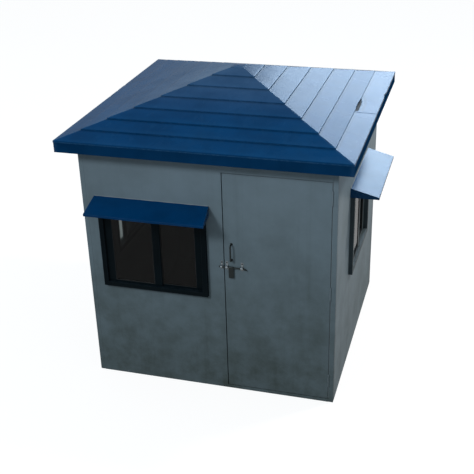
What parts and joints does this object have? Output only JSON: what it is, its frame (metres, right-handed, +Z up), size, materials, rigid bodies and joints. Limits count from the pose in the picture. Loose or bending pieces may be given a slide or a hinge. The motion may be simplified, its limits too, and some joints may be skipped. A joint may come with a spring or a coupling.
{
  "type": "security guard booth",
  "caption": "Square security guard booth with a blue hipped roof, hooded sliding windows and a flush door with a sliding bolt.",
  "frame": {"origin": "middle of the base at ground level, midway between the outer faces of the walls", "axes": "+X right along the front wall, +Y from the front to the back, +Z up; the door is in the front, -Y, wall"},
  "size_m": [2.57, 2.467, 2.542],
  "materials": {
    "wall_panel": "dusty grey coated sheet",
    "door_panel": "dusty grey coated sheet",
    "roof_sheet": "semi gloss blue paint",
    "window_frame": "dark weathered paint",
    "window_glass": "dark tinted glass",
    "ceiling": "matt off white liner",
    "floor_sheet": "worn sheet flooring on board",
    "base_steel": "dark primer",
    "zinc_steel": "dull zinc plating with dark bolt heads",
    "dark_steel": "dull dark steel"
  },
  "bodies": {
    "booth": {"back_fascia": "roof_sheet", "back_roof_panel": "roof_sheet", "back_wall_panel": "wall_panel", "base_frame": "base_steel", "bolt_receiver": "zinc_steel", "ceiling_panel": "ceiling", "corner_post_back_left": "wall_panel", "corner_post_back_right": "wall_panel", "corner_post_front_left": "wall_panel", "corner_post_front_right": "wall_panel", "door_sill": "wall_panel", "door_stops": "wall_panel", "floor_board": "floor_sheet", "front_fascia": "roof_sheet", "front_roof_panel": "roof_sheet", "front_wall_header": "wall_panel", "front_wall_panel": "wall_panel", "front_window_frame": "window_frame", "front_window_glass": "window_glass", "front_window_hood": "roof_sheet", "front_window_sash_left": "window_frame", "front_window_sash_right": "window_frame", "hinge_post_halves": "wall_panel", "left_fascia": "roof_sheet", "left_roof_panel": "roof_sheet", "left_wall_panel": "wall_panel", "left_window_frame": "window_frame", "left_window_glass": "window_glass", "left_window_hood": "roof_sheet", "left_window_sash_left": "window_frame", "left_window_sash_right": "window_frame", "right_fascia": "roof_sheet", "right_roof_panel": "roof_sheet", "right_wall_panel": "wall_panel", "right_window_frame": "window_frame", "right_window_glass": "window_glass", "right_window_hood": "roof_sheet", "right_window_sash_left": "window_frame", "right_window_sash_right": "window_frame", "roof_cap": "roof_sheet"},
    "door": {"door_leaf": "door_panel", "hinge_door_halves": "wall_panel", "bolt_guides": "zinc_steel", "pull_handle": "dark_steel"},
    "bolt": {"bolt_rod": "dark_steel"},
    "bolt_flap": {"bolt_flap": "dark_steel"}
  },
  "joints": [
    {"name": "door_hinge", "type": "hinge", "parent": "booth", "child": "door", "pos_m": [1.0075, -1.056, 1], "axis": [0, 0, 1], "range_deg": [0, 170]},
    {"name": "bolt_slide", "type": "slide", "parent": "door", "child": "bolt", "axis": [1, 0, 0], "range_m": [0, 0.034]},
    {"name": "flap_hinge", "type": "hinge", "parent": "bolt", "child": "bolt_flap", "pos_m": [0.2, -1.064, 1.189], "axis": [-1, 0, 0], "range_deg": [0, 100]}
  ]
}
